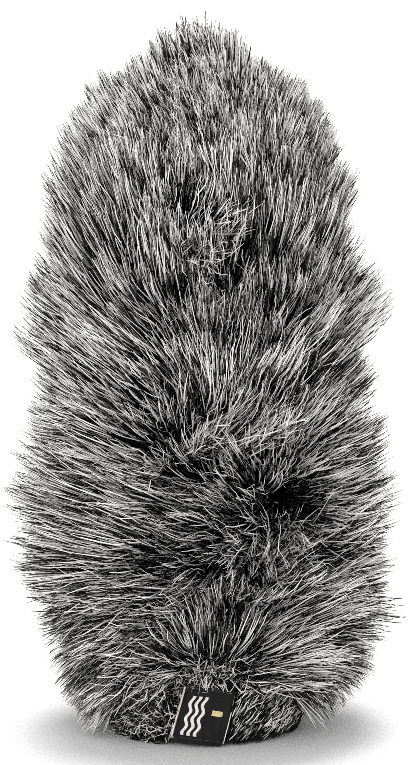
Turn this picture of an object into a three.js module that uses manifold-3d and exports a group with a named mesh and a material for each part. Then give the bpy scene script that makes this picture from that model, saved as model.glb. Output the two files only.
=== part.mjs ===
// Furry slip-on windscreen for a shotgun microphone, standing on its base ring.
// Millimetres, +Z from the microphone's mouth to the nose, the label on the -Y side.
// The foam core stays on the microphone; the fur cover pulls off it along +Z.
import * as THREE from "three";
import { mergeVertices } from "three/addons/utils/BufferGeometryUtils.js";
import Module from "manifold-3d";

// Driving dimensions
const MIC_BORE_R = 10.5; // takes microphones 19 to 21 mm across
const CORE_R = 24.3; // outside of the foam core
const CORE_TOP = 191; // tip of the foam nose
const NOSE_START = 168.3; // underside of the glued nose, and the end of the bore
const RING_H = 6; // height of the stiff base ring
const COLLAR_R = 16.5; // outside of the rubber collar
const COLLAR_H = 16;
const COVER_HEM = 20.2; // height of the hem
const BACKING = 1.3; // thickness of the knitted backing
const GAP = 0.3; // room left between pieces that touch
const COVER_GAP = 0.6; // room between the core and the cover that slides over it
const SEAM_GAP = 0.6; // half the slit between the two fur panels
const SEGMENTS = 48;
const DOME_STEPS = 7;

// Derived sizes
const RING_R = CORE_R + GAP;
const COVER_R = CORE_R + COVER_GAP; // inside of the cover
const COVER_TOP = CORE_TOP + COVER_GAP;
const PANEL_START = COVER_HEM + 2 * GAP; // the panels are sewn on just above the hem
const HEM_R = COVER_R + 4.6; // outside of the folded hem
const HEM_PLY = 1.2; // one layer of the hem's fabric
const HEM_FOOT = 0.3; // the hem hangs just clear of the surface
const LABEL_R = HEM_R + 0.9; // the label lies on the hem's short pile
const LABEL_T = 0.8;

// Outline of the pile, from the root above the hem, round the hanging skirt, up to the tip
// over the nose, as [radius, height] pairs.
const PILE = [
  [HEM_R + 2.7, PANEL_START],
  [36.5, 14.5],
  [41, 9],
  [46, 12],
  [51, 27],
  [54, 48],
  [55.5, 72],
  [53.5, 98],
  [52.5, 120],
  [48.5, 145],
  [45, 167],
  [38.5, 188],
  [33, 199],
  [25, 207.5],
  [15, 214.5],
  [7, 219],
  [0, 221],
];

// The label's corners on the hem, as [distance round from the front seam, height].
const LABEL = {
  lowLeft: [-11.3, 0.6],
  lowRight: [4.3, 0.6],
  highLeft: [-6.7, 20.2],
  highRight: [8.3, 17.4],
};

const wasm = await Module();
wasm.setup();

const material = {
  foam: new THREE.MeshStandardMaterial({ color: 0x2b2b2d, roughness: 0.95, metalness: 0 }),
  rubber: new THREE.MeshStandardMaterial({ color: 0x151515, roughness: 0.6, metalness: 0 }),
  plastic: new THREE.MeshStandardMaterial({ color: 0x1b1b1c, roughness: 0.5, metalness: 0 }),
  fur: new THREE.MeshStandardMaterial({ color: 0x6a6a68, roughness: 0.8, metalness: 0 }),
  elastic: new THREE.MeshStandardMaterial({ color: 0x202020, roughness: 0.85, metalness: 0 }),
  thread: new THREE.MeshStandardMaterial({ color: 0x1a1a1a, roughness: 0.7, metalness: 0 }),
  label: new THREE.MeshStandardMaterial({ color: 0x141414, roughness: 0.7, metalness: 0 }),
  labelThread: new THREE.MeshStandardMaterial({ color: 0xd9d6c8, roughness: 0.7, metalness: 0 }),
  barTack: new THREE.MeshStandardMaterial({ color: 0xd8cf8a, roughness: 0.7, metalness: 0 }),
};

// A body of revolution about Z from [radius, height] pairs that run up the outside.
function turned(profile) {
  const points = profile.map(([r, z]) => new THREE.Vector2(r, z));
  return new THREE.LatheGeometry(points, SEGMENTS).rotateX(Math.PI / 2);
}

// A tube or ring of rectangular section about Z.
function ring(innerR, outerR, low, high) {
  return turned([
    [innerR, low],
    [outerR, low],
    [outerR, high],
    [innerR, high],
    [innerR, low],
  ]);
}

// A quarter of an ellipse from (radius, base) up to (0, top), as [radius, height] pairs.
function dome(radius, base, top) {
  return Array.from({ length: DOME_STEPS + 1 }, (_, i) => {
    const a = (i / DOME_STEPS) * (Math.PI / 2);
    return [i === DOME_STEPS ? 0 : radius * Math.cos(a), base + (top - base) * Math.sin(a)];
  });
}

function toSolid(geometry) {
  const bare = geometry.clone();
  bare.deleteAttribute("normal");
  bare.deleteAttribute("uv");
  const merged = mergeVertices(bare, 1e-3);
  return new wasm.Manifold(
    new wasm.Mesh({
      numProp: 3,
      vertProperties: merged.attributes.position.array,
      triVerts: new Uint32Array(merged.index.array),
    }),
  );
}

function toGeometry(solid) {
  const mesh = solid.getMesh();
  const geometry = new THREE.BufferGeometry();
  geometry.setAttribute("position", new THREE.BufferAttribute(mesh.vertProperties, 3));
  geometry.setIndex(new THREE.BufferAttribute(mesh.triVerts, 1));
  geometry.computeVertexNormals();
  return geometry;
}

// ---- The core, which stays on the microphone ----

// Stiff ring under the foam, with a shallow groove for the hem's elastic to bite into.
function baseRing() {
  const bore = COLLAR_R + GAP;
  const chamfer = 0.6;
  const grooveR = RING_R - 0.8;
  return turned([
    [bore, 0],
    [RING_R - chamfer, 0],
    [RING_R, chamfer],
    [RING_R, 2.2],
    [grooveR, 2.6],
    [grooveR, 4],
    [RING_R, 4.4],
    [RING_R, RING_H],
    [bore, RING_H],
    [bore, 0],
  ]);
}

// Rubber bush that grips the microphone's body with three soft lips.
function rubberCollar() {
  const wallR = MIC_BORE_R - 0.3;
  const lipR = MIC_BORE_R - 0.9;
  const lipHalf = 0.9;
  const chamfer = 1;
  const lips = [13, 8.5, 4].flatMap((z) => [
    [wallR, z + lipHalf],
    [lipR, z],
    [wallR, z - lipHalf],
  ]);
  return turned([
    [wallR + chamfer, 0],
    [COLLAR_R, 0],
    [COLLAR_R, COLLAR_H],
    [wallR, COLLAR_H],
    ...lips,
    [wallR, chamfer],
    [wallR + chamfer, 0],
  ]);
}

// Open-cell foam sleeve, bored for the microphone and counterbored for the collar.
function foamSleeve() {
  const top = NOSE_START - GAP;
  const low = RING_H + GAP;
  const step = COLLAR_H + GAP;
  return turned([
    [COLLAR_R + GAP, low],
    [CORE_R, low],
    [CORE_R, top],
    [MIC_BORE_R, top],
    [MIC_BORE_R, step],
    [COLLAR_R + GAP, step],
    [COLLAR_R + GAP, low],
  ]);
}

const foamNose = () => turned([[0, NOSE_START], ...dome(CORE_R, NOSE_START, CORE_TOP)]);

// ---- The fur cover, which slides off the core ----

// Both fur panels as one bullet-shaped shell, from the backing's inner face to the pile's tips.
function furShell() {
  const inside = dome(COVER_R, NOSE_START, COVER_TOP).reverse();
  return turned([...PILE, ...inside, [COVER_R, PANEL_START], PILE[0]]);
}

// One panel: the part of the shell on the side where X has this sign, short of the seam.
function furPanel(side) {
  const reach = 60;
  const half = new THREE.BoxGeometry(2 * reach, 4 * reach, 8 * reach);
  half.translate(side * (reach + SEAM_GAP), 0, 0);
  return toGeometry(toSolid(furShell()).intersect(toSolid(half)));
}

// The seam between the panels, running from the front of the hem over the nose to the back.
function seamThread() {
  const inset = 0.1; // inside both faces of the backing
  const low = PANEL_START + GAP;
  const arch = (r, top) => {
    const back = dome(r, NOSE_START, top);
    const front = back.slice(0, -1).map(([y, z]) => [-y, z]);
    return [[r, low], ...back, ...front.reverse(), [-r, low]];
  };
  const outline = [
    ...arch(COVER_R + BACKING - inset, COVER_TOP + BACKING - inset),
    ...arch(COVER_R + inset, COVER_TOP + inset).reverse(),
  ];
  const shape = new THREE.Shape(outline.map(([y, z]) => new THREE.Vector2(y, z)));
  const width = 2 * (SEAM_GAP - GAP);
  const seam = new THREE.ExtrudeGeometry(shape, { depth: width, bevelEnabled: false });
  // Stands the outline up in the plane of Y and Z.
  return seam.translate(0, 0, -width / 2).rotateX(Math.PI / 2).rotateZ(Math.PI / 2);
}

// A strip of the same fur folded into a channel, open along its top where it is sewn shut.
function hemCuff() {
  const chamfer = 1;
  const fold = HEM_FOOT + 1.3;
  return turned([
    [COVER_R + chamfer, HEM_FOOT],
    [HEM_R - chamfer, HEM_FOOT],
    [HEM_R, HEM_FOOT + chamfer],
    [HEM_R, COVER_HEM],
    [HEM_R - HEM_PLY, COVER_HEM],
    [HEM_R - HEM_PLY, fold],
    [COVER_R + HEM_PLY, fold],
    [COVER_R + HEM_PLY, COVER_HEM],
    [COVER_R, COVER_HEM],
    [COVER_R, HEM_FOOT + chamfer],
    [COVER_R + chamfer, HEM_FOOT],
  ]);
}

// A ring that fills the hem's channel between two heights.
function channelRing(low, high) {
  return ring(COVER_R + HEM_PLY + GAP, HEM_R - HEM_PLY - GAP, low, high);
}

// Flat braided elastic at the foot of the channel.
const hemElastic = () => channelRing(HEM_FOOT + 2, HEM_FOOT + 12);

// The row of stitches that closes the channel.
const hemThread = () => channelRing(COVER_HEM - 2.2, COVER_HEM - 1.4);

// The point of the label that is u of the way across it and v of the way up it.
function onLabel(u, v) {
  const { lowLeft, lowRight, highLeft, highRight } = LABEL;
  return [0, 1].map(
    (k) =>
      (lowLeft[k] * (1 - u) + lowRight[k] * u) * (1 - v) +
      (highLeft[k] * (1 - u) + highRight[k] * u) * v,
  );
}

// The stretch of the label between two shares of its width and height, wrapped round the hem.
function labelPatch([fromU, toU], [fromV, toV], radius, thickness) {
  const patch = new THREE.BoxGeometry(1, thickness, 1, 8, 1, 4);
  const at = patch.attributes.position;
  for (let i = 0; i < at.count; i++) {
    const u = fromU + (toU - fromU) * (at.getX(i) + 0.5);
    const v = fromV + (toV - fromV) * (at.getZ(i) + 0.5);
    const [along, height] = onLabel(u, v);
    const r = radius + thickness / 2 - at.getY(i);
    const angle = along / radius;
    at.setXYZ(i, r * Math.sin(angle), -r * Math.cos(angle), height);
  }
  return patch;
}

const labelTab = () => labelPatch([0, 1], [0, 1], LABEL_R, LABEL_T);

// A raised line of thread on the label's face.
const onFace = (across, up) => labelPatch(across, up, LABEL_R + LABEL_T + GAP, 0.4);

const core = new THREE.Group();
const cover = new THREE.Group();

function add(group, name, geometry, finish) {
  const mesh = new THREE.Mesh(geometry, finish);
  mesh.name = name;
  group.add(mesh);
}

add(core, "base_ring", baseRing(), material.plastic);
add(core, "rubber_collar", rubberCollar(), material.rubber);
add(core, "foam_sleeve", foamSleeve(), material.foam);
add(core, "foam_nose", foamNose(), material.foam);

add(cover, "fur_panel_left", furPanel(-1), material.fur);
add(cover, "fur_panel_right", furPanel(1), material.fur);
add(cover, "seam_thread", seamThread(), material.thread);
add(cover, "hem_cuff", hemCuff(), material.fur);
add(cover, "hem_elastic", hemElastic(), material.elastic);
add(cover, "hem_thread", hemThread(), material.thread);
add(cover, "label_tab", labelTab(), material.label);
add(cover, "label_thread_lower", onFace([0.1, 0.9], [0.07, 0.12]), material.labelThread);
add(cover, "label_thread_upper", onFace([0.1, 0.9], [0.9, 0.95]), material.labelThread);
add(cover, "label_bar_tack", onFace([0.62, 0.84], [0.52, 0.6]), material.barTack);

const windscreen = new THREE.Group();
windscreen.add(core, cover);

export default windscreen;
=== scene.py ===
"""Looks for the furry windscreen: a long-pile fur cover over a foam core, on a pale floor."""

import math

import bmesh
import bpy
import numpy as np
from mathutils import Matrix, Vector
from mathutils.kdtree import KDTree


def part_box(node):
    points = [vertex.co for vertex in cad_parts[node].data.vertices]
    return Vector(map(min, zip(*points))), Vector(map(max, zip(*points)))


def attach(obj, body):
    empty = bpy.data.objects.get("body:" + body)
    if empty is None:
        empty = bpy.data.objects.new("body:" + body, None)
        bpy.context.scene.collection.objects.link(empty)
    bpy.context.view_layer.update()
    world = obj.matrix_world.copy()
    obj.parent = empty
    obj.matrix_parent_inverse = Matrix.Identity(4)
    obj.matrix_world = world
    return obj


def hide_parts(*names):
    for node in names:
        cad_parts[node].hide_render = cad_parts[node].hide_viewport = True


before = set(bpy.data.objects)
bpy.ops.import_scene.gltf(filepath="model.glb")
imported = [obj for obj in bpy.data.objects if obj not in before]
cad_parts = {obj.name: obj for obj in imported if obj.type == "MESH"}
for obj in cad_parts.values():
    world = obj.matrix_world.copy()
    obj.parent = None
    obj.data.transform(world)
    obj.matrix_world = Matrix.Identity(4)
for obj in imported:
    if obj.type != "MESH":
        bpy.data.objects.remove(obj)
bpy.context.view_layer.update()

MM = 0.001

# Places read from the frame, in metres
_, RING_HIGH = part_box("base_ring")
_, COLLAR_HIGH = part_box("rubber_collar")
SLEEVE_LOW, SLEEVE_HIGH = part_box("foam_sleeve")
NOSE_LOW, NOSE_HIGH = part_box("foam_nose")
_, PANEL_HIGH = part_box("fur_panel_right")
HEM_LOW, HEM_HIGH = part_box("hem_cuff")

CORE_R = SLEEVE_HIGH.x
NOSE_START = NOSE_LOW.z
ROOM = 0.6 * MM  # between the core and the cover
COVER_R = CORE_R + ROOM  # inside of the cover
BACKING = 1.3 * MM  # thickness of the knitted backing
BACKING_R = COVER_R + BACKING  # where the pile is rooted
BACKING_TOP = NOSE_HIGH.z + ROOM + BACKING
HEM_R = HEM_HIGH.x
PANEL_FOOT = HEM_HIGH.z + 1 * MM
FUR_TOP = PANEL_HIGH.z + 3 * MM  # the highest that the pile's tips get
MIC_R = 10.5 * MM  # the microphone's bore
RING_R_IN = COLLAR_HIGH.x + 0.3 * MM
STRAIGHT = NOSE_START - PANEL_FOOT  # the backing's straight side
DOME_RISE = BACKING_TOP - NOSE_START
DOME_ARC = math.pi / 2 * math.sqrt((BACKING_R**2 + DOME_RISE**2) / 2)  # from foot to tip


# ---------------- shared helpers


def unit(v):
    """The vectors at length 1."""
    return v / np.maximum(np.linalg.norm(v, axis=-1, keepdims=True), 1e-9)


def smooth(x, low, high):
    """0 below low, 1 above high, and a smooth step between them."""
    t = np.clip((x - low) / (high - low), 0, 1)
    return t * t * (3 - 2 * t)


def around(theta, r, z):
    """Points at a radius and height. Angles go round from the front towards +X."""
    return np.stack(np.broadcast_arrays(r * np.sin(theta), -r * np.cos(theta), z), -1)


def outward(theta):
    """Directions away from the axis."""
    return around(theta, 1, 0.0)


def sideways(theta):
    """Level directions round the axis."""
    return np.stack([np.cos(theta), np.sin(theta), np.zeros_like(theta)], -1)


def polar(points):
    """The angle and radius of each point."""
    x, y = points[..., 0], points[..., 1]
    return np.arctan2(x, -y), np.hypot(x, y)


def link(name, mesh, *materials):
    """A piece of that mesh, in the scene."""
    for material in materials:
        mesh.materials.append(material)
    piece = bpy.data.objects.new(name, mesh)
    bpy.context.scene.collection.objects.link(piece)
    return piece


def place(piece, body, slot, *nodes):
    """The piece moves with a body and stands for CAD nodes, which it hides. slot is not used."""
    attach(piece, body)
    if nodes:
        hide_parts(*nodes)
    return piece


def principled(name, color, roughness=0.6, **sockets):
    """A Principled material with constant sockets, given by name with _ for a space."""
    material = bpy.data.materials.new(name)
    material.use_nodes = True
    shader = material.node_tree.nodes["Principled BSDF"]
    shader.inputs["Base Color"].default_value = (*color, 1)
    shader.inputs["Roughness"].default_value = roughness
    for socket, value in sockets.items():
        shader.inputs[socket.replace("_", " ")].default_value = value
    return material


# ---------------- materials with a pattern


BAND_PITCH = 0.314  # distance between a Wave texture's bands at a scale of 1


class Pattern:
    """Builds a material's nodes: textures on the piece's own coordinates, colours and bumps."""

    def __init__(self, name, color, roughness, **sockets):
        self.material = principled(name, color, roughness, **sockets)
        self.nodes = self.material.node_tree.nodes
        self.shader = self.nodes["Principled BSDF"]
        self.coordinates = self.nodes.new("ShaderNodeTexCoord").outputs["Object"]

    def wire(self, source, target):
        self.material.node_tree.links.new(source, target)

    def texture(self, kind, output, **settings):
        """A texture's output. settings are its inputs and properties, by name."""
        node = self.nodes.new(kind)
        for key, value in settings.items():
            if key in node.inputs:
                node.inputs[key].default_value = value
            else:
                setattr(node, key, value)
        self.wire(self.coordinates, node.inputs["Vector"])
        return node.outputs[output]

    def noise(self, size, detail=3.0):
        return self.texture("ShaderNodeTexNoise", "Fac", Scale=1 / size, Detail=detail)

    def cells(self, size):
        return self.texture("ShaderNodeTexVoronoi", "Distance", Scale=1 / size)

    def bands(self, size, direction):
        scale = BAND_PITCH / size
        return self.texture("ShaderNodeTexWave", "Fac", Scale=scale, bands_direction=direction)

    def times(self, a, b):
        node = self.nodes.new("ShaderNodeMath")
        node.operation = "MULTIPLY"
        self.wire(a, node.inputs[0])
        self.wire(b, node.inputs[1])
        return node.outputs[0]

    def color(self, source, low, high, start=0.0, end=1.0):
        """Colours from low to high where the source goes from start to end."""
        ramp = self.nodes.new("ShaderNodeValToRGB")
        ramp.color_ramp.elements[0].position = start
        ramp.color_ramp.elements[1].position = end
        ramp.color_ramp.elements[0].color = (*low, 1)
        ramp.color_ramp.elements[1].color = (*high, 1)
        self.wire(source, ramp.inputs["Fac"])
        self.wire(ramp.outputs["Color"], self.shader.inputs["Base Color"])

    def bump(self, source, depth, strength=0.6):
        node = self.nodes.new("ShaderNodeBump")
        node.inputs["Strength"].default_value = strength
        node.inputs["Distance"].default_value = depth
        self.wire(source, node.inputs["Height"])
        self.wire(node.outputs["Normal"], self.shader.inputs["Normal"])


def grey(value, warmth=0.0):
    """A grey, or a warm one with less blue in it."""
    return (value, value * (1 - 0.3 * warmth), value * (1 - warmth))


def foam_material():
    p = Pattern("open_cell_foam", grey(0.03), 0.95)
    cells = p.cells(0.9 * MM)
    # the cells' pits are painted darker than their walls: painted shade in the pores
    p.color(cells, grey(0.006), grey(0.055), 0.1, 0.7)
    p.bump(cells, 0.5 * MM)
    return p.material


def rubber_material():
    p = Pattern("soft_rubber", grey(0.012), 0.55)
    grain = p.noise(0.6 * MM)
    p.color(p.noise(6 * MM), grey(0.008), grey(0.017))
    p.bump(grain, 0.05 * MM, 0.4)
    return p.material


def plastic_material():
    p = Pattern("moulded_plastic", grey(0.018), 0.45)
    p.color(p.noise(8 * MM), grey(0.013), grey(0.022))
    p.bump(p.noise(0.35 * MM, 2.0), 0.04 * MM, 0.5)
    return p.material


def knit_material():
    p = Pattern("knitted_backing", grey(0.03), 0.9, Sheen_Weight=0.2)
    loops = p.times(p.bands(0.9 * MM, "Z"), p.noise(0.8 * MM))
    # darker where the bump sinks between the loops: painted shade
    p.color(loops, grey(0.010, 0.1), grey(0.05, 0.1), 0.1, 0.6)
    p.bump(loops, 0.25 * MM)
    return p.material


def tape_material():
    p = Pattern("woven_label_tape", grey(0.008), 0.7, Specular_IOR_Level=0.2, Sheen_Weight=0.03)
    weave = p.times(p.bands(0.34 * MM, "X"), p.bands(0.30 * MM, "Z"))
    # darker where the weave sinks between threads: painted shade
    p.color(weave, grey(0.003), grey(0.014), 0.05, 0.8)
    p.bump(weave, 0.06 * MM, 0.8)
    return p.material


def thread_material(name, color, darker):
    p = Pattern(name, color, 0.5, Sheen_Weight=0.15)
    p.color(p.noise(0.25 * MM, 2.0), darker, color, 0.3, 0.6)
    p.bump(p.bands(0.16 * MM, "DIAGONAL"), 0.04 * MM, 0.6)
    return p.material


def elastic_material():
    p = Pattern("braided_elastic", grey(0.02), 0.8)
    braid = p.bands(0.7 * MM, "Z")
    # darker between the braid's ribs, where its bump sinks: painted shade
    p.color(braid, grey(0.006), grey(0.03))
    p.bump(braid, 0.15 * MM)
    return p.material


# ---------------- turned, wrapped and sewn pieces


def ring_mesh(name, points, closed=False):
    """A closed mesh from rings of points, one after another. Its ends are capped, unless closed
    says that the last ring joins the first. A ring has an even number of points."""
    rings, sides = points.shape[:2]
    at = np.arange(rings * sides).reshape(rings, sides)
    ahead = np.roll(at, -1, 0)
    quads = np.stack([at, np.roll(at, -1, 1), np.roll(ahead, -1, 1), ahead], -1)
    quads = (quads if closed else quads[:-1]).reshape(-1, 4).tolist()
    if not closed:
        for ring in (at[0], at[-1]):
            for i in range(sides // 2 - 1):
                quads.append([ring[i], ring[i + 1], ring[-2 - i], ring[-1 - i]])
    mesh = bpy.data.meshes.new(name)
    mesh.from_pydata(points.reshape(-1, 3).tolist(), [], quads)
    shape = bmesh.new()
    shape.from_mesh(mesh)
    bmesh.ops.recalc_face_normals(shape, faces=shape.faces)
    shape.to_mesh(mesh)
    shape.free()
    mesh.shade_smooth()
    return mesh


def shell_mesh(name, outer, inner):
    """A thin closed sheet between two grids of points."""
    return ring_mesh(name, np.concatenate([outer, inner[:, ::-1]], 1))


def densified(outline, step):
    """The outline's points, with more between them so that none are further apart than step."""
    found = []
    for (r0, z0), (r1, z1) in zip(outline, outline[1:] + outline[:1]):
        count = max(1, math.ceil(math.hypot(r1 - r0, z1 - z0) / step))
        found += [(r0 + (r1 - r0) * k / count, z0 + (z1 - z0) * k / count) for k in range(count)]
    return np.array(found)


def turned(name, outline, segments=128, step=2 * MM, relief=None):
    """A closed outline of (radius, height) turned about Z. relief(points, out) moves points."""
    r, z = densified(outline, step).T
    angle = np.arange(segments) / segments * 2 * math.pi
    points = around(angle[None], r[:, None], z[:, None])
    if relief:
        points = relief(points, np.broadcast_to(outward(angle), points.shape))
    return ring_mesh(name, points, closed=True)


SIDE_SHARE = 0.45  # the most of an outline's side that a rounded corner takes


def rounded(outline, radius, steps=3):
    """The closed outline with its corners rounded off."""
    found = []
    count = len(outline)
    for i in range(count):
        before, corner, after = (np.array(outline[(i + k) % count]) for k in (-1, 0, 1))
        ways = [p - corner for p in (before, after)]
        cut = min(radius, *(np.linalg.norm(w) * SIDE_SHARE for w in ways))
        a, b = (corner + unit(w) * cut for w in ways)
        for k in range(steps + 1):
            t = k / steps
            found.append(tuple((1 - t) ** 2 * a + 2 * t * (1 - t) * corner + t * t * b))
    return found


SLANT = np.array([0.31, 0.17, 0.93])  # a direction that no thread runs in


def tube(name, line, radius, sides=8, closed=False):
    """A round thread along a line of points, flat at its ends unless the line is closed."""
    line = np.asarray(line, float)
    if closed:
        along = unit(np.roll(line, -1, 0) - np.roll(line, 1, 0))
    else:
        along = unit(np.gradient(line, axis=0))
    across = unit(np.cross(along, SLANT))[:, None]
    over = np.cross(along, across[:, 0])[:, None]
    angle = (np.arange(sides) / sides * 2 * math.pi)[None, :, None]
    ring = across * np.cos(angle) + over * np.sin(angle)
    return ring_mesh(name, line[:, None] + ring * radius, closed)


FOAM_CELL = 1.7 * MM  # size of the foam's open cells
CELL_WALL = 0.35  # the walls between cells, as a share of a cell
SKIN = 0.5 * MM  # how deep under the largest radius counts as the outside


def tree_of(points):
    """A tree that finds the nearest of the points."""
    tree = KDTree(len(points))
    for i, point in enumerate(points):
        tree.insert(point, i)
    tree.balance()
    return tree


def pores(depth, seed):
    """A relief of open cells: points sink between the walls of randomly placed cells."""

    def relief(points, out):
        flat = points.reshape(-1, 3)
        draw = np.random.default_rng(seed)
        low, high = flat.min(0), flat.max(0)
        area = 2 * math.pi * high[0] * (high[2] - low[2])
        count = int(area / FOAM_CELL**2)
        angle = draw.uniform(-math.pi, math.pi, count)
        z = draw.uniform(low[2], high[2], count)
        profile = outer_profile(flat)
        radius = np.interp(z, *profile)
        cells = tree_of(around(angle, radius, z))
        near = np.array([[d for _, _, d in cells.find_n(p, 2)] for p in flat])
        wall = 1 - smooth(near[:, 1] - near[:, 0], 0, CELL_WALL * FOAM_CELL)
        outside = polar(flat)[1] > np.interp(flat[:, 2], *profile) - SKIN
        sink = -depth * (1 - wall) * outside
        return (flat + out.reshape(-1, 3) * sink[:, None]).reshape(points.shape)

    return relief


def outer_profile(flat):
    """Heights and the largest radius at each, of a turned set of points."""
    z = np.round(flat[:, 2], 5)
    heights = np.unique(z)
    r = polar(flat)[1]
    largest = np.array([r[z == height].max() for height in heights])
    return heights, largest


# ---------------- the core


EDGE = 0.35 * MM  # radius of the moulded edges


def make_base_ring():
    """The stiff ring, with a groove round it for the hem's elastic."""
    bore = RING_R_IN
    r, high = RING_HIGH.x, RING_HIGH.z
    groove = r - 0.8 * MM
    outline = [
        (bore, 0), (r - 0.6 * MM, 0), (r, 0.6 * MM), (r, 2.2 * MM), (groove, 2.6 * MM),
        (groove, 4 * MM), (r, 4.4 * MM), (r, high), (bore, high),
    ]
    mesh = turned("ring", rounded(outline, EDGE), segments=144)
    place(link("ring_moulding", mesh, plastic_material()), "core", "ring", "base_ring")


LIP_HEIGHTS = (13 * MM, 8.5 * MM, 4 * MM)


def make_collar():
    """The soft bush, with three lips that grip the microphone."""
    wall, lip = MIC_R - 0.3 * MM, MIC_R - 0.9 * MM
    half = 0.9 * MM
    lips = []
    for z in LIP_HEIGHTS:
        lips += [(wall, z + half), (lip, z), (wall, z - half)]
    r, high = COLLAR_HIGH.x, COLLAR_HIGH.z
    outline = [(wall + 1 * MM, 0), (r, 0), (r, high), (wall, high), *lips, (wall, 1 * MM)]
    mesh = turned("collar", rounded(outline, EDGE), segments=112)
    place(link("collar_bush", mesh, rubber_material()), "core", "collar", "rubber_collar")


AXIS_R = 1e-5  # of the pin-hole that keeps the turned nose off its axis
NOSE_STEPS = 40


def make_foam(material):
    """The bored sleeve, with a counterbore for the collar, and the nose on top of it."""
    inner = RING_R_IN
    step = COLLAR_HIGH.z + 0.3 * MM
    low, high = SLEEVE_LOW.z, SLEEVE_HIGH.z
    outline = [(inner, low), (CORE_R, low), (CORE_R, high), (MIC_R, high), (MIC_R, step), (inner, step)]
    mesh = turned("sleeve", outline, segments=220, step=0.8 * MM, relief=pores(0.55 * MM, seed=3))
    sleeve = link("foam_tube", mesh, material)
    place(sleeve, "core", "foam", "foam_sleeve")
    rise = NOSE_HIGH.z - NOSE_START
    arc = [a * math.pi / 2 / NOSE_STEPS for a in range(NOSE_STEPS + 1)]
    outline = [(CORE_R * math.cos(a) + AXIS_R, NOSE_START + rise * math.sin(a)) for a in arc]
    outline.append((AXIS_R, NOSE_START))
    mesh = turned("nose", outline, segments=200, step=1 * MM, relief=pores(0.5 * MM, seed=4))
    nose = link("foam_dome", mesh, material)
    place(nose, "core", "foam", "foam_nose")


# ---------------- the cover, under its pile


BACKING_ROWS, BACKING_COLUMNS = 64, 72
EDGE_ANGLE = 0.9  # between a panel's edge and the seam, in degrees
GROOVE_WIDE, GROOVE_DEEP = 1.2 * MM, 0.5 * MM  # along the seams
DOME_SEWN = 0.97  # share of the way over the dome that the backing goes


def make_backing(material):
    """The knitted fabric of both panels, as thin shells that meet in a groove at the seams."""
    along = np.linspace(0, 1, BACKING_ROWS) * (STRAIGHT + DOME_ARC * DOME_SEWN)
    turn = np.linspace(math.radians(EDGE_ANGLE), math.radians(180 - EDGE_ANGLE), BACKING_COLUMNS)
    for side, word in ((-1, "left"), (1, "right")):
        t, a = (g.ravel() for g in np.meshgrid(turn * side, along))
        root, normal, _ = backing_at(t, a)
        from_seam = np.abs(np.sin(t)) * BACKING_R
        groove = np.exp(-((from_seam / GROOVE_WIDE) ** 2)) * GROOVE_DEEP
        inner = np.full_like(groove, BACKING - 0.2 * MM)
        grid = (BACKING_ROWS, BACKING_COLUMNS, 3)
        layers = [(root - normal * inset[:, None]).reshape(grid) for inset in (groove, inner)]
        piece = link(f"backing_{word}", shell_mesh(f"backing_{word}", *layers), material)
        place(piece, "cover", "fur", f"fur_panel_{word}")


SEAM_LAPS = 150
LAP_POINTS = 6
SEAM_START = 0.003  # share of the seam that is left bare at each end
SEAM_DEPTH, LAP_DEPTH, LAP_WIDE = 0.65 * MM, 0.35 * MM, 0.3 * MM


def make_seam(material):
    """Overlocked thread that laces the two panels together over the nose."""
    count = SEAM_LAPS * LAP_POINTS
    share = np.linspace(SEAM_START, 1 - SEAM_START, count)
    length = 2 * (STRAIGHT + DOME_ARC)
    along = np.minimum(share, 1 - share) * length
    theta = np.where(share < 0.5, 0.0, math.pi)
    root, normal, _ = backing_at(theta, along)
    turn = np.linspace(0, SEAM_LAPS * 2 * math.pi, count)
    line = root - normal * (SEAM_DEPTH + LAP_DEPTH * np.cos(turn))[:, None]
    line[:, 0] += LAP_WIDE * np.sin(turn)
    piece = link("seam_overlock", tube("seam", line, 0.14 * MM, 6), material)
    place(piece, "cover", "thread", "seam_thread")


HEM_WALL = HEM_R - 1.1 * MM  # mean radius of the hem's outer face
HEM_INNER = COVER_R + 0.1 * MM
HEM_PLY = 1 * MM
HEM_FLOOR = HEM_LOW.z + 1.2 * MM  # bottom of the channel
HEM_MIDDLE = (HEM_INNER + HEM_WALL) / 2


def hem_wall(theta):
    """Radius of the hem's outer face, gathered a little by the elastic."""
    return HEM_WALL + 0.28 * MM * np.sin(23 * theta + 1.2 * np.sin(3 * theta))


def gathers(points, out):
    """A relief that moves the hem's outer ply, and leaves its inner one smooth."""
    theta, r = polar(points)
    outer = smooth(r, HEM_WALL - HEM_PLY - 0.2 * MM, HEM_WALL - HEM_PLY)
    return points + out * ((hem_wall(theta) - HEM_WALL) * outer)[:, :, None]


def make_hem_fold(material):
    """The strip of fabric, folded up into a channel that is open at its top."""
    low, high = HEM_LOW.z, HEM_HIGH.z
    inner, wall, ply = HEM_INNER, HEM_WALL, HEM_PLY
    outline = [
        (inner + 1 * MM, low), (wall - 2 * MM, low), (wall, low + 4 * MM), (wall, high),
        (wall - ply, high), (wall - ply, HEM_FLOOR), (inner + ply, HEM_FLOOR),
        (inner + ply, high), (inner, high), (inner, low + 1 * MM),
    ]
    mesh = turned("hem", rounded(outline, 0.5 * MM), segments=240, step=1.5 * MM, relief=gathers)
    piece = link("hem_fold", mesh, material)
    place(piece, "cover", "fur", "hem_cuff")


HEM_STITCHES = 70


def make_hem_stitches(thread):
    """The row that closes the channel, from one ply to the other and back."""
    turn = np.linspace(0, 2 * math.pi, 600, endpoint=False)
    r = HEM_MIDDLE + 0.5 * MM * np.sin(HEM_STITCHES * turn)
    line = around(turn, r, HEM_HIGH.z - 1.8 * MM)
    mesh = tube("hem_stitches", line, 0.2 * MM, sides=6, closed=True)
    piece = link("hem_stitches", mesh, thread)
    place(piece, "cover", "thread", "hem_thread")


ELASTIC_HALF = 0.5 * MM  # half of its thickness
ELASTIC_LOW, ELASTIC_HIGH = HEM_LOW.z + 2 * MM, HEM_LOW.z + 12 * MM
RIB_DEPTH, RIB_PITCH = 0.15 * MM, 0.8 * MM


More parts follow.
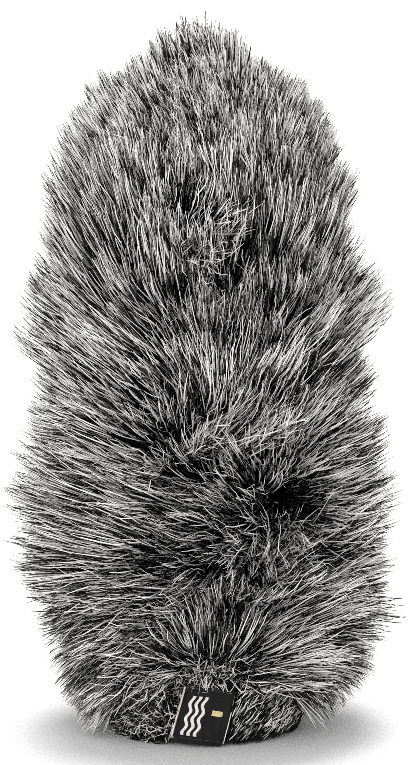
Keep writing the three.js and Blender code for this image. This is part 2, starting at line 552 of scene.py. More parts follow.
def ribs(points, out):
    """A relief of braided ribs round the elastic."""
    lift = RIB_DEPTH * np.sin(points[:, :, 2] / RIB_PITCH * 2 * math.pi)
    return points + out * lift[:, :, None]


def make_hem_elastic(material):
    """The flat braided elastic in the channel."""
    inner, outer = HEM_MIDDLE - ELASTIC_HALF, HEM_MIDDLE + ELASTIC_HALF
    low, high = ELASTIC_LOW, ELASTIC_HIGH
    band = [(inner, low), (outer, low), (outer, high), (inner, high)]
    mesh = turned("hem_braid", band, segments=160, step=0.25 * MM, relief=ribs)
    place(link("hem_braid", mesh, material), "cover", "elastic", "hem_elastic")


HEM_FIBRES = 13000
HEM_GRAIN = 9 * MM  # size of the patches in which the hem's pile lies one way
HEM_ARC = math.pi * 0.6  # how far round a hem fibre bends, as it stands up and leans over
HEM_LOWEST = 0.25 * MM  # the pile's clearance from the floor there


def hem_lean(theta, z, curly, top, lie, draw):
    """How far the hem's fibres lean to the side and up, in mm."""
    count = len(theta)
    aside = np.where(theta > -0.1, 3.5, -3.0) + 2 * lie
    aside += draw.normal(0, 1.2 + 2 * curly, count)
    up = 4.5 - 3.5 * curly + 3 * top + waves(theta, z, HEM_GRAIN, 42)
    up += draw.normal(0, 1 + 2 * curly, count)
    up += (z < 3 * MM) * 1.5
    return aside, up


def hem_pile(materials):
    """Short fibres on the hem: combed up to the right, curly on the left, upright at the top."""
    draw = np.random.default_rng(31)
    theta = draw.uniform(-math.pi, math.pi, HEM_FIBRES)
    z = draw.uniform(0.6, 20, HEM_FIBRES) * MM
    clear = ~label_covers(theta, z)
    theta, z = theta[clear], z[clear]
    count = len(theta)
    curly = smooth(-theta, 0.0, 0.6) * smooth(theta + 2.2, 0, 0.5)
    top = smooth(z, 15 * MM, 20 * MM)
    root = around(theta, hem_wall(theta) - 0.1 * MM, z)
    lie = waves(theta, z, HEM_GRAIN, 41)
    aside, up = hem_lean(theta, z, curly, top, lie, draw)
    stand = (2.4 + draw.uniform(-0.8, 1.6, count) + 2.5 * top) * MM
    stand = stand * (0.4 + 0.6 * smooth(z, 0, 9 * MM))
    out, side = outward(theta)[:, None], sideways(theta)[:, None]
    points = root[:, None] + out * (stand[:, None] * np.sin(T * HEM_ARC))[:, :, None]
    points = points + side * (aside[:, None] * MM * T)[:, :, None]
    points[:, :, 2] += (up * MM)[:, None] * T**1.2
    size = (0.5 + curly) * draw.uniform(0.2, 1, count) * MM
    points = curled(points, size, draw.uniform(0.5, 1.4, count), draw)
    points[:, :, 2] = np.maximum(points[:, :, 2], HEM_LOWEST)
    tone, width = two_tones(count, 0.42 + 0.1 * lie, draw)
    edges = ribbons(points, width * 0.85, draw)
    # dark at the roots, partly as painted shade deep in the pile
    shades = shade_of(tone * 0.95, draw.uniform(0.2, 0.6, count))
    place(fibre_mesh("hem_pile", edges, shades, materials), "cover", "fur", "hem_cuff")


# ---------------- the label

# Lower and upper corners, as distance round the hem from the front seam and height, in mm
LABEL_CORNERS = np.array([[(-10.8, 2.0), (4.3, 0.6)], [(-5.6, 20.4), (8.7, 17.8)]]) * MM
LABEL_FACE_R = HEM_R + 1.7 * MM


def label_point(u, v, lift=0.0):
    """A point u across and v up the label, lift above its face. Both ends tuck in, and the
    face sways and arches a little."""
    (a, b), (c, d) = LABEL_CORNERS
    u, v, lift = np.broadcast_arrays(np.asarray(u, float), np.asarray(v, float), lift)
    flat = (a * (1 - u)[..., None] + b * u[..., None]) * (1 - v)[..., None]
    flat = flat + (c * (1 - u)[..., None] + d * u[..., None]) * v[..., None]
    tuck = 2.2 * MM * (1 - smooth(v, -0.02, 0.1)) + 1.6 * MM * smooth(v, 0.94, 1.04)
    sway = 0.35 * MM * np.sin(3.1 * u + 2.4 * v) + 0.2 * MM * np.sin(7 * v - 2 * u)
    arch = 0.5 * MM * np.sin(np.clip(u, 0, 1) * math.pi) * v
    r = LABEL_FACE_R + lift - tuck + sway
    return around(flat[..., 0] / LABEL_FACE_R, r, flat[..., 1] + arch)


LABEL_TALL = 18.5 * MM
UNDER_PLY_SHOWS = 1.9 * MM  # at the left of the face, with its selvedge
LABEL_BARE_TO = 18.3 * MM  # the height up to which the label keeps clear of pile


def label_covers(theta, z):
    """Which places on the hem the label lies over."""
    along = theta * LABEL_FACE_R
    (a, b), (c, d) = LABEL_CORNERS
    v = np.clip(z / LABEL_TALL, 0, 1)
    left = a[0] * (1 - v) + c[0] * v - UNDER_PLY_SHOWS
    right = b[0] * (1 - v) + d[0] * v + 0.3 * MM
    return (along > left) & (along < right) & (z < LABEL_BARE_TO)


def label_patch(name, u_range, v_range, low, high, columns=24, rows=28):
    """A thin closed piece of the label between two heights over its face."""
    u, v = np.meshgrid(np.linspace(*u_range, columns), np.linspace(*v_range, rows))
    return shell_mesh(name, label_point(u, v, high), label_point(u, v, low))


def make_tape(material):
    """The label's face, and the ply under it that shows at its left."""
    face = label_patch("label_tape", (0, 1), (-0.02, 1.03), -0.5 * MM, 0)
    piece = link("label_tape", face, material)
    place(piece, "cover", "label", "label_tab")
    under = label_patch("label_under", (-0.075, 0.3), (0.02, 0.97), -1.3 * MM, -0.8 * MM)
    place(link("label_under_ply", under, material), "cover", "label", "label_tab")


def make_selvedges(white, yellow):
    """White lines along both edges, and four short pale stitches over the left one."""
    v = np.linspace(0.04, 0.93, 60)
    left = label_point(np.full_like(v, -0.07), v, -0.75 * MM)
    v = np.linspace(0.05, 0.62, 40)
    right = label_point(np.full_like(v, 1.01), v, -0.15 * MM)
    for word, line, thick in (("left", left, 0.34 * MM), ("right", right, 0.2 * MM)):
        piece = link(f"label_selvedge_{word}", tube("selvedge", line, thick), white)
        place(piece, "cover", "label", "label_tab")
    for k in range(4):
        v = 0.44 + 0.05 * k
        u = np.linspace(-0.1, -0.04, 5)
        line = label_point(u, np.full_like(u, v), -0.36 * MM)
        piece = link(f"selvedge_stitch_{k + 1}", tube("stitch", line, 0.17 * MM), yellow)
        place(piece, "cover", "label_thread", "label_tab")


WAVE_PLACES = (0.16, 0.29, 0.42)
WAVE_SWING, WAVE_HALF = 0.028, 0.034  # shares of the label's width
BAR_THREADS = 9


def make_waves(white):
    """Three woven waves, as a sign for wind."""
    v = np.linspace(0.14, 0.8, 90)
    for k, u in enumerate(WAVE_PLACES, 1):
        wave = u + WAVE_SWING * np.sin(v * 26)
        edges = np.stack([wave - WAVE_HALF, wave, wave + WAVE_HALF], -1)
        skins = [label_point(edges, v[:, None], lift * MM) for lift in (0.14, -0.05)]
        mesh = shell_mesh(f"label_wave_{k}", *skins)
        place(link(f"label_wave_{k}", mesh, white), "cover", "label_thread", "label_tab")


def make_bar_tack(yellow):
    """Short threads side by side, arched from end to end."""
    u = np.linspace(0.62, 0.84, 9)
    lift = 0.12 * MM + 0.1 * MM * np.sin(np.linspace(0, math.pi, len(u)))
    for k, v in enumerate(np.linspace(0.52, 0.6, BAR_THREADS), 1):
        line = label_point(u, np.full_like(u, v), lift)
        piece = link(f"bar_tack_{k}", tube("bar", line, 0.11 * MM, 6), yellow)
        place(piece, "cover", "bar_tack", "label_bar_tack")


def make_label_stitches(thread):
    """The sewn lines across both ends of the label."""
    u = np.linspace(0.08, 0.92, 90)
    for word, v in (("lower", 0.095), ("upper", 0.925)):
        line = label_point(u, np.full_like(u, v), 0.1 * MM * np.sin(u * 75))
        piece = link(f"label_stitch_{word}", tube("stitch", line, 0.13 * MM, 6), thread)
        place(piece, "cover", "label_thread", f"label_thread_{word}")


# ---------------- long fur

SHADES = 14
DARKEST, BRIGHTEST = 0.0015, 0.95
SHADE_CURVE = 1.8  # puts more of the shades among the dark ones


def fur_materials():
    """One slightly warm material for each shade of fibre, from black to silver."""
    found = []
    for i in range(SHADES):
        share = i / (SHADES - 1)
        value = DARKEST + (BRIGHTEST - DARKEST) * share**SHADE_CURVE
        color = (value, value * 0.99, value * 0.965)
        found.append(principled(f"fur_{i:02d}", color, 0.4, Specular_IOR_Level=0.1 + 0.5 * share))
    return found


def waves(theta, z, grain, seed, count=7):
    """Smooth noise of about -1 to 1 round and along the cover. grain is its size in metres,
    on a ring part of the way out to the tips."""
    draw = np.random.default_rng(seed)
    ring = BACKING_R * 1.6
    at = np.stack([np.cos(theta) * ring, np.sin(theta) * ring, z], -1)
    total = np.zeros_like(theta)
    for _ in range(count):
        way = unit(draw.normal(size=3)) / grain * draw.uniform(0.6, 1.6)
        total += np.sin(at @ way * 2 * math.pi + draw.uniform(0, 2 * math.pi))
    return total / math.sqrt(count)


def backing_at(theta, along):
    """Root, outward normal and sideways tangent at an angle from the front towards +X and a
    distance up the backing: up the cylinder and then over the dome."""
    lat = np.clip((along - STRAIGHT) / DOME_ARC, 0, 1) * math.pi / 2
    z = PANEL_FOOT + np.minimum(along, STRAIGHT) + DOME_RISE * np.sin(lat)
    root = around(theta, BACKING_R * np.cos(lat), z)
    normal = around(theta, np.cos(lat) * DOME_RISE, np.sin(lat) * BACKING_R)
    return root, unit(normal), sideways(theta)


def spot(theta, z, angle, height, wide, tall):
    """1 at a place on the backing, falling to 0 round it."""
    off = (theta - math.radians(angle) + math.pi) % (2 * math.pi) - math.pi
    return np.exp(-((off / math.radians(wide)) ** 2) - ((z - height * MM) / (tall * MM)) ** 2)


# Reach of the pile from the axis at each height, in mm: on the left and on the right
REACH = [
    (0, 38, 36), (8, 43, 40), (17, 47, 50), (25, 49, 52), (34, 53, 61), (44, 57.5, 56), (53, 62, 56),
    (62, 63, 55), (71, 62, 61), (80, 64, 56), (89, 60, 58.5), (99, 56, 51), (108, 57, 52),
    (117, 53, 46), (127, 59.5, 58), (136, 58, 56), (145, 53, 45), (155, 50.5, 43),
    (164, 49.5, 42.5), (173, 50, 45), (182, 46, 39.5), (192, 39.5, 36), (201, 30, 28), (209, 19, 14),
    (215, 16, 9), (219, 10, 6), (222, 5, 3), (225, 1, 1),
]
TIER_SHIFT = 9 * MM
RAGGED = 1.8 * MM
SHOULDER_TUFT = 7 * MM


def reach(theta, z):
    """How far from the axis the pile reaches there. Its tiers shift up and down at the back,
    and a tuft stands out on the left shoulder."""
    heights, left, right = np.array(REACH).T * MM
    back = (1 - np.cos(theta)) / 2
    tiers = smooth(z, 20 * MM, 60 * MM) * (1 - smooth(z, 140 * MM, 170 * MM))
    share = (1 + np.sin(theta)) / 2
    at = z + TIER_SHIFT * np.sin(3 * theta) * tiers * back
    radius = np.interp(at, heights, left) * (1 - share) + np.interp(at, heights, right) * share
    radius = radius + RAGGED * waves(theta, z, 16 * MM, 3) * smooth(radius, 5 * MM, 25 * MM)
    return radius + SHOULDER_TUFT * spot(theta, z, -85, 203, 16, 5)


# How the pile is combed. For each height of the root: angles round from the front, and there
# how far the tip leans to the side and how far up, in mm
COMB = {
    193: [(-90, -4, 9), (0, -5, 10), (90, 0, 9)],
    182: [(-90, -4, 15), (0, -6, 16), (90, -2, 15)],
    165: [(180, 0, 19), (-60, 1, 20), (-30, 4, 22), (0, -1, 22), (30, -8, 22), (60, -11, 20)],
    140: [(180, 0, 22), (-60, -2, 22), (-30, 2, 23), (0, -1, 24), (30, -7, 24), (60, -9, 22)],
    115: [(180, 0, 19), (-60, -10, 16), (-35, -13, 20), (-10, -8, 22), (10, -3, 23), (30, -1, 22),
          (60, -3, 19)],
    97: [(180, 0, 16), (-60, -9, 13), (-35, -16, 17), (-10, -9, 20), (12, 1, 20), (30, 2, 17),
         (60, 3, 14)],
    84: [(180, 0, 12), (-60, -10, 12), (-35, -18, 17), (-12, -19, 15), (12, -17, 12), (28, -17, 13),
         (38, -15, 14), (48, -9, 15), (58, -2, 14), (70, 6, 14), (80, 4, 13)],
    68: [(180, 0, 8), (-60, -9, 8), (-35, -19, 13), (-12, -20, 12), (12, -18, 9), (28, -20, 8),
         (38, -20, 7), (48, -10, 5), (58, -4, 10), (68, 6, 12), (80, 4, 11)],
    54: [(180, 0, 5), (-65, -8, 2), (-35, -19, 2), (-12, -16, -2), (8, -12, -5), (25, -12, -3),
         (38, -10, 0), (48, -3, 6), (58, 3, 9), (68, 8, 9), (80, 5, 8)],
    42: [(180, 0, 2), (-65, -6, -5), (-35, -17, -12), (-12, -13, -9), (8, 0, 14), (25, 14, 11),
         (45, 14, 7), (65, 5, 6)],
    30: [(180, 0, -4), (-65, -7, -14), (-35, -14, -16), (-12, -9, 4), (9, 2, 18), (20, 15, 6),
         (45, 14, -1), (65, 6, -2)],
    21: [(180, 0, -12), (-65, -6, -21), (-38, -8, -19), (-20, -5, -16), (-10, -3, -8), (5, 0, 3),
         (20, 13, -15), (45, 10, -17), (65, 6, -16)],
}
# Tufts that lie another way: angle and height of the root and how far that goes, in degrees and
# mm, then the lean to the side and up, and how much is left of the pile's height
TUFTS = [
    (-9, 151, 11, 5.5, 19, -11, 1),
    (10, 131, 14, 6, -4, 9, 0.58),
    (-5, 79, 17, 4, -17, 9, 0.85),
    (-14, 92, 12, 5, 15, 11, 1),
    (6, 90, 14, 6, 17, 12, 1),
    (38, 86, 8, 4, -8, 15, 0.8),
    (-20, 30, 6, 5, -3, 2, 0.6),
    (-4, 22, 14, 2.2, -5, 0.5, 0.45),
    (22, 19.5, 11, 2.5, 17, -10, 0.95),
    (-30, 19.5, 9, 2.5, -6, -13, 0.8),
]
# Places that the pile fans out from: angle and height, how far that goes round and up, and the
# lean away from them, in degrees and mm
WHORLS = [(6, 20.5, 19, 15, 22), (42, 75, 5, 4.5, 10), (-26, 88, 8, 3, 9)]
# Places where the pile is matted: angle, height, how far that goes, and how badly
MATTED = [
    (34, 60, 14, 7, 1), (50, 57, 8, 6, 0.6), (6, 132, 12, 5, 0.6), (-12, 52, 20, 7, 0.3),
    (-26, 26, 8, 7, 0.7), (-28, 42, 16, 9, 0.25), (-3, 21, 15, 2.5, 0.7), (6, 21, 6, 3, 0.4),
    (-14, 98, 14, 7, 0.3), (-2, 91, 18, 4, 0.25), (-9, 151, 11, 6, 0.2),
]
# Places where more of the pile is silver, or less: angle, height, how far that goes, and the share. The
# darkest, at the whorl at 42° and the gap at 30° and 143 mm, are painted shade where the pile parts
PALE_AND_SHADE_SPOTS = [
    (-5, 91, 28, 6, 0.3), (34, 60, 13, 7, 0.2), (-30, 76, 22, 8, 0.04), (-32, 145, 16, 14, 0.08),
    (-8, 151, 13, 7, 0.35), (42, 75, 6, 4, -0.5), (45, 84, 9, 4, 0.15), (-28, 87, 10, 3, -0.1),
    (-22, 30, 7, 6, -0.2), (30, 143, 6, 5, -0.4), (0, 98, 90, 15, 0.06), (58, 70, 8, 8, 0.25),
    (52, 90, 10, 7, 0.2), (-40, 105, 24, 14, 0.07), (-42, 38, 26, 14, -0.08),
    (25, 84, 14, 5, 0.15), (8, 79, 22, 5, 0.12),
]


def combed(theta, z):
    """The comb's lean to the side and up, between its rows."""
    heights = sorted(COMB)
    rows = []
    for height in heights:
        angle, side, up = np.array(COMB[height], float).T
        at = np.degrees(theta)
        rows.append([np.interp(at, angle, lean, period=360) for lean in (side, up)])
    rows = np.array(rows) * MM
    row = np.interp(z / MM, heights, np.arange(len(heights)))
    low = np.minimum(row.astype(int), len(heights) - 2)
    share = row - low
    each = np.arange(len(theta))
    return rows[low, :, each].T * (1 - share) + rows[low + 1, :, each].T * share


BROAD_GRAIN, FINE_GRAIN = 35 * MM, 12 * MM


def unrest(theta, z, seed, broad, fine):
    """Broad and fine waves in the way that the pile is combed. Both are given in mm."""
    total = waves(theta, z, BROAD_GRAIN, seed) * broad
    return (total + waves(theta, z, FINE_GRAIN, seed + 1) * fine) * MM


DROOP = 0.75  # how far a whorl's pile hangs beside its middle, as a share of its lean
UPRIGHT_TO, DROOPS_FROM = 7 * MM, 12 * MM  # distances beside a whorl's middle
SWIRL, SWIRL_RISE = 9 * MM, 25 * MM  # at the back: how far to the side, and its slant


def comb(theta, z):
    """How far the tips are combed sideways and up from their roots, in metres, and the share
    of the pile's height that is left."""
    side, up = combed(theta, z)
    for angle, height, wide, tall, lean in WHORLS:
        across = (theta - math.radians(angle)) * BACKING_R
        rise = z - height * MM
        away = np.hypot(across, rise) + 1e-6
        near = spot(theta, z, angle, height, wide * 1.6, tall * 1.6)
        droop = -DROOP * smooth(np.abs(across), UPRIGHT_TO, DROOPS_FROM)
        side = side * (1 - near) + near * across / away * lean * MM
        up = up * (1 - near) + near * np.maximum(rise / away, droop) * lean * MM
    stand = np.ones_like(theta)
    for angle, height, wide, tall, aside, lift, share in TUFTS:
        near = spot(theta, z, angle, height, wide, tall)
        side = side * (1 - near) + near * aside * MM
        up = up * (1 - near) + near * lift * MM
        stand = stand * (1 - near) + near * share
    behind = smooth(np.abs(theta), math.radians(70), math.radians(100))
    side = side + SWIRL * behind * np.sin(3 * theta + z / SWIRL_RISE)
    side = side + unrest(theta, z, 11, 3, 3.6)
    up = up + unrest(theta, z, 13, 2.5, 3.2)
    return side, up, stand


def spots(places, theta, z):
    """The sum of the places' last value there."""
    return sum(place[4] * spot(theta, z, *place[:4]) for place in places)


def matting(theta, z):
    """How badly the pile is matted there, from 0 to 1."""
    return np.clip(spots(MATTED, theta, z), 0, 1)


DOME_SHARE = 1.4  # how much denser the pile is rooted on the dome
FOOT_SHARE = 0.08  # share of the roots that are added along the foot
FOOT_ROOTS = 7 * MM


def spread_roots(count, draw):
    """Angles and distances up the backing of that many roots, denser on the dome and foot."""
    theta = draw.uniform(-math.pi, math.pi, count)
    along = draw.uniform(0, STRAIGHT, count)
    foot = draw.uniform(0, 1, count) < FOOT_SHARE
    along = np.where(foot, draw.uniform(0, 1, count) * FOOT_ROOTS, along)
    dome = DOME_ARC * DOME_SHARE
    domed = draw.uniform(0, 1, count) < dome / (STRAIGHT + dome)
    lat = np.arcsin(draw.uniform(0, 1, count))
    return theta, np.where(domed, STRAIGHT + lat / (math.pi / 2) * DOME_ARC, along)


STEPS = 8  # segments in a fibre
T = np.linspace(0, 1, STEPS + 1)
RISE = 1 - (1 - T) ** 1.2  # a fibre stands up from its root
BEND = T**1.25  # and leans over towards its tip
DOME_PILE = 22 * MM  # height of the pile that the comb was set for on the dome
SHORTEST, LONGEST = 2 * MM, 50 * MM
HALVINGS = 14


def paths(theta, along, side, up, length):
    """Points of each fibre, as combed. length is the share of the pile's reach it gets to.
    The height at which its tip gets to the pile's reach is found by halving."""
    root, normal, tangent = backing_at(theta, along)
    over = smooth(along, STRAIGHT - 10 * MM, STRAIGHT + 12 * MM)[:, None]
    lean = tangent * side[:, None]
    lean[:, 2] += up

    def leant(height):
        return lean * (1 - over * (1 - height[:, None] / DOME_PILE))

    low, high = np.full(len(theta), SHORTEST), np.full(len(theta), LONGEST)
    for _ in range(HALVINGS):
        height = (low + high) / 2
        tip = root + normal * height[:, None] + leant(height)
        within = np.hypot(tip[:, 0], tip[:, 1]) < reach(theta, tip[:, 2])
        within &= tip[:, 2] < FUR_TOP
        low, high = np.where(within, height, low), np.where(within, high, height)
    height = height * length
    lean = leant(height) * (0.3 + 0.7 * length)[:, None]
    out = normal[:, None] * (height[:, None] * RISE)[:, :, None]
    return root[:, None] + out + lean[:, None] * BEND[None, :, None]


LOCKS = 3600  # groups of fibres that lean towards a shared path
LOCK_MESSY, OWN_MESSY = 3.3 * MM, 1.5 * MM  # how far tips stray from the comb
STRAYS = 0.04  # share of the fibres that cross the others
STRAY_KICK = 3 * MM
FUR_LOWEST = 0.6 * MM  # the long pile's clearance from the floor


def lock_guides(count, draw):
    """A path for each lock of fibres, how long it is, and a tree of their roots."""
    theta, along = spread_roots(count, draw)
    z = backing_at(theta, along)[0][:, 2]
    side, up, stand = comb(theta, z)
    messy = LOCK_MESSY * (1 + 2.4 * matting(theta, z))
    side += draw.normal(0, 1, count) * messy
    up += draw.normal(0, 1, count) * messy
    length = stand * (1 + 0.1 * draw.normal(size=count))
    guides = paths(theta, along, side, up, length)
    return guides, length, tree_of(guides[:, 0])


def curled(points, size, turns, draw):
    """The paths with a curl of that size that grows from the root."""
    count = len(points)
    turn = draw.uniform(0, 2 * math.pi, (count, 2, 1)) + turns[:, None, None] * 2 * math.pi * T
    points[:, :, 2] += np.sin(turn[:, 0]) * size[:, None] * T
    along = unit(points[:, -1] - points[:, 0])
    aside = unit(np.cross(along, points[:, 0] * (1, 1, 0)))
    points += aside[:, None] * (np.sin(turn[:, 1]) * size[:, None] * T)[:, :, None]
    return points


def trimmed(points, spare=1.5 * MM):
    """The paths with those that stick out of the pile by more than spare drawn in."""
    root, tip = points[:, :1], points[:, -1]
    theta, r = polar(tip)
    over = r - reach(theta, tip[:, 2]) - spare
    over = np.maximum(over, tip[:, 2] - FUR_TOP)
    length = np.linalg.norm(tip - root[:, 0], axis=1)
    keep = 1 - np.clip(over / length, 0, 0.6)
    return root + (points - root) * keep[:, None, None]


LABEL_CLEAR = 17.5 * MM  # lowest height of the pile at the label's face
LABEL_CLEAR_SLOPE = 0.16  # its rise outwards, so that the label is seen from a little above


def off_label(points):
    """The paths with those in front of the label lifted clear of it."""
    draw = np.random.default_rng(22)
    theta, r = polar(points)
    z = points[..., 2]
    lowest = LABEL_CLEAR + LABEL_CLEAR_SLOPE * (r - LABEL_FACE_R)
    lowest += draw.uniform(-0.5 * MM, 3 * MM, (len(points), 1))
    points[..., 2] = np.where(label_covers(theta, z), np.maximum(z, lowest), z)
    return points


def with_locks(own, guides, length, mat, draw):
    """The fibres' own paths, drawn towards their locks' more and more towards the tip."""
    apart = own[:, :1] - guides[:, :1]
    guide = guides - guides[:, :1]
    guide = own[:, :1] - apart * 0.5 * T[None, :, None] + guide * length[:, None, None]
    pull = (T**1.2)[None, :, None] * draw.uniform(0.05, 0.45, len(own))[:, None, None]
    pull = pull * (1 - 0.6 * mat)[:, None, None]
    return own * (1 - pull) + guide * pull


def with_strays(points, draw):
    """The paths, with a few of them kicked across the others."""
    stray = draw.uniform(0, 1, len(points)) < STRAYS
    kick = draw.normal(0, STRAY_KICK, (len(points), 3)) * stray[:, None]
    return points + kick[:, None] * (T**1.4)[None, :, None]


def fur_paths(count, draw):
    """Root angle, root height, path, lock and matting of each fibre."""
    guides, lock_length, tree = lock_guides(LOCKS, draw)
    theta, along = spread_roots(count, draw)
    root = backing_at(theta, along)[0]
    z = root[:, 2]
    nearest = np.array([tree.find(point)[1] for point in root])
    side, up, _ = comb(theta, z)
    mat = matting(theta, z)
    messy = OWN_MESSY * (1 + 5 * mat)
    side += draw.normal(0, 1, count) * messy
    up += draw.normal(0, 1, count) * messy
    length = lock_length[nearest] * (1 - 0.5 * draw.uniform(0, 1, count) ** 1.3)
    length *= 1 - 0.2 * mat
    own = paths(theta, along, side, up, length)
    points = with_locks(own, guides[nearest], length, mat, draw)
    points = with_strays(points, draw)
    size = (1.1 + 2.2 * mat) * draw.uniform(0.2, 1, count) * MM
    points = trimmed(curled(points, size, draw.uniform(0.5, 1.6, count), draw))
    points[:, :, 2] = np.maximum(points[:, :, 2], FUR_LOWEST)
    return theta, z, off_label(points), nearest, mat


TWIST = 0.9  # most that a fibre's flat side turns along it, in radians
TAPER = 0.75  # share of a fibre's width that is gone at its tip


def ribbons(points, width, draw):
    """Two edges for each fibre. Its flat side faces anywhere and turns, and its tip tapers."""
    count = len(points)
    along = unit(np.gradient(points, axis=1))
    out = points * (1, 1, 0)
    across = unit(np.cross(along, unit(out)))
    face = np.cross(across, along)
    share = np.linspace(0, 1, points.shape[1])
    turn = draw.uniform(0, math.pi, count)[:, None] + draw.uniform(-TWIST, TWIST, count)[:, None] * share
    across = across * np.cos(turn)[:, :, None] + face * np.sin(turn)[:, :, None]
    taper = (1 - TAPER * share**5)[None, :, None]
    half = width[:, None, None] * taper / 2
    return np.stack([points - across * half, points + across * half], 2)


def fibre_mesh(name, edges, shades, materials):
    """One mesh of flat fibres. edges is fibres by points by 2 by 3, shades fibres by segments."""
    fibres, rows = edges.shape[:2]
    verts = edges.reshape(-1, 3)
    base = (np.arange(fibres) * rows * 2)[:, None] + np.arange(rows - 1) * 2
    quads = np.stack([base, base + 1, base + 3, base + 2], -1).reshape(-1)
    faces = len(quads) // 4
    mesh = bpy.data.meshes.new(name)
    mesh.vertices.add(len(verts))
    mesh.vertices.foreach_set("co", verts.astype(np.float32).ravel())
    mesh.loops.add(len(quads))
    mesh.loops.foreach_set("vertex_index", quads.astype(np.int32))
    mesh.polygons.add(faces)
    mesh.polygons.foreach_set("loop_start", np.arange(faces, dtype=np.int32) * 4)
    mesh.polygons.foreach_set("material_index", shades.astype(np.int32).ravel())
    mesh.update()
    return link(name, mesh, *materials)


def shade_of(tone, bright_from, soft=0.2):
    """Shade of each segment: dark at the root, partly as the fibre's own dark base and partly as painted
    shade deep in the pile, and the fibre's own tone past bright_from.
    """
    t = (np.arange(STEPS) + 0.5) / STEPS
    lit = smooth(t[None, :], bright_from[:, None] - soft, bright_from[:, None])
    return np.clip(np.round(tone[:, None] * (0.04 + 0.96 * lit) * (SHADES - 1)), 0, SHADES - 1)


def two_tones(count, bright_share, draw):
    """Tone and width of each fibre: silver guard hairs among black ones."""
    bright = draw.uniform(0, 1, count) < bright_share
    tone = np.where(bright, draw.uniform(0.8, 1, count), draw.uniform(0, 0.1, count))
    width = np.where(bright, draw.uniform(0.32, 0.46, count), draw.uniform(0.38, 0.6, count))
    return tone, width * MM


FIBRES = 125000
SILVER = 0.425  # share of silver fibres on the lower half
UPPER_SILVER, NOSE_SILVER = 0.055, 0.075  # added from the middle up, and towards the nose
LOCK_SILVER = 0.06  # how much the share varies between locks, and between larger patches
DARK_LENGTH = 0.97  # of the black fibres, next to silver ones
MOST_FIBRES = 12000  # in one piece


def long_fur(materials):
    """The pile of both panels: silver guard hairs among black ones, dark at their roots, partly as
    painted shade deep in the pile.
    """
    draw = np.random.default_rng(21)
    theta, z, points, lock, mat = fur_paths(FIBRES, draw)
    lighter = draw.normal(0, LOCK_SILVER, LOCKS)[lock]
    upper = smooth(z, 80 * MM, 105 * MM)
    share = SILVER + UPPER_SILVER * upper + NOSE_SILVER * smooth(z, 150 * MM, 200 * MM)
    share += LOCK_SILVER * waves(theta, z, 20 * MM, 5) + lighter
    # paler and darker places; the darkest of them are painted shade where the pile parts
    share += spots(PALE_AND_SHADE_SPOTS, theta, z)
    tone, width = two_tones(FIBRES, share, draw)
    keep = np.where(tone > 0.5, 1, DARK_LENGTH)[:, None, None]
    edges = ribbons(points[:, :1] + (points - points[:, :1]) * keep, width, draw)
    # where each fibre turns silver varies partly as painted glints; the black below it is partly painted
    # shade deep in the pile
    shades = shade_of(tone, draw.uniform(0.4, 0.75, FIBRES) + 0.15 * upper - 0.45 * mat)
    paler_tip = draw.uniform(1, 7, FIBRES).astype(int)
    shades[:, -1] = np.maximum(shades[:, -1], paler_tip)
    for side, word in ((-1, "left"), (1, "right")):
        own = np.flatnonzero(np.sign(theta) == side)
        parts = np.array_split(own, math.ceil(len(own) / MOST_FIBRES))
        for k, part in enumerate(parts, 1):
            piece = fibre_mesh(f"pile_{word}_{k}", edges[part], shades[part], materials)
            place(piece, "cover", "fur", f"fur_panel_{word}")


# ---------------- stage


FRAME_TALL = 234 * MM  # the view's height at the windscreen's axis
AIM_HEIGHT = 107.3 * MM
LOOKS_DOWN = 9  # degrees


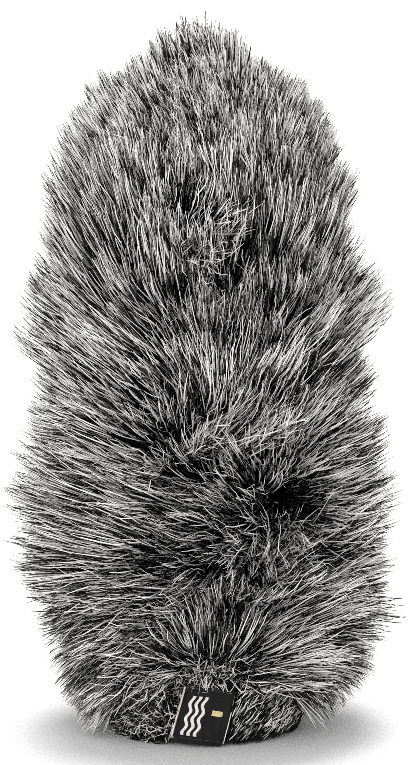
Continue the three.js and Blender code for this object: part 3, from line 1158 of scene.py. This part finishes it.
def make_camera():
    """A long lens in front, which looks down a little at the middle of the pile."""
    data = bpy.data.cameras.new("camera")
    data.lens = 180
    data.sensor_width = 36
    camera = bpy.data.objects.new("camera", data)
    bpy.context.scene.collection.objects.link(camera)
    distance = data.lens / data.sensor_width * FRAME_TALL
    elevation = math.radians(LOOKS_DOWN)
    aim = Vector((0, 0, AIM_HEIGHT))
    camera.location = aim + Vector((0, -math.cos(elevation), math.sin(elevation))) * distance
    camera.rotation_euler = (math.pi / 2 - elevation, 0, 0)
    bpy.context.scene.camera = camera


def sun(name, azimuth, elevation, strength, spread):
    """A soft light from that side (0 is the front, 90 the right) and height, in degrees."""
    data = bpy.data.lights.new(name, "SUN")
    data.energy = strength
    data.angle = math.radians(spread)
    light = bpy.data.objects.new(name, data)
    a, e = math.radians(azimuth), math.radians(elevation)
    towards = Vector((math.sin(a) * math.cos(e), -math.cos(a) * math.cos(e), math.sin(e)))
    light.rotation_euler = towards.to_track_quat("Z", "Y").to_euler()
    bpy.context.scene.collection.objects.link(light)


FLOOR_HALF = 6  # metres


def make_stage():
    """A pale floor, a white world, and two soft lights from above and from the front."""
    mesh = bpy.data.meshes.new("floor")
    corners = [(x * FLOOR_HALF, y * FLOOR_HALF, 0) for x, y in ((-1, -1), (1, -1), (1, 1), (-1, 1))]
    mesh.from_pydata(corners, [], [(0, 1, 2, 3)])
    link("floor", mesh, principled("floor", grey(0.6), 0.9))
    world = bpy.data.worlds.new("world")
    world.use_nodes = True
    world.node_tree.nodes["Background"].inputs["Color"].default_value = (1, 1, 1, 1)
    bpy.context.scene.world = world
    sun("overhead", 180, 80, 4.2, 32)
    sun("front", -15, 35, 1.6, 60)


make_camera()
make_stage()
fur = fur_materials()
knit = knit_material()
black = thread_material("black_thread", grey(0.02), grey(0.008))
white = thread_material("white_label_thread", (0.78, 0.77, 0.74), (0.5, 0.49, 0.47))
yellow = thread_material("pale_yellow_thread", (0.72, 0.62, 0.3), (0.45, 0.38, 0.18))
make_base_ring()
make_collar()
make_foam(foam_material())
make_backing(knit)
make_seam(black)
make_hem_fold(knit)
make_hem_stitches(black)
make_hem_elastic(elastic_material())
make_tape(tape_material())
make_selvedges(white, yellow)
make_waves(white)
make_bar_tack(yellow)
make_label_stitches(black)
hem_pile(fur)
long_fur(fur)
bpy.context.scene.view_settings.view_transform = "Standard"
bpy.context.scene.cycles.use_denoising = False
bpy.context.scene.cycles.filter_width = 0.75
bpy.context.scene.cycles.sampling_pattern = "BLUE_NOISE"
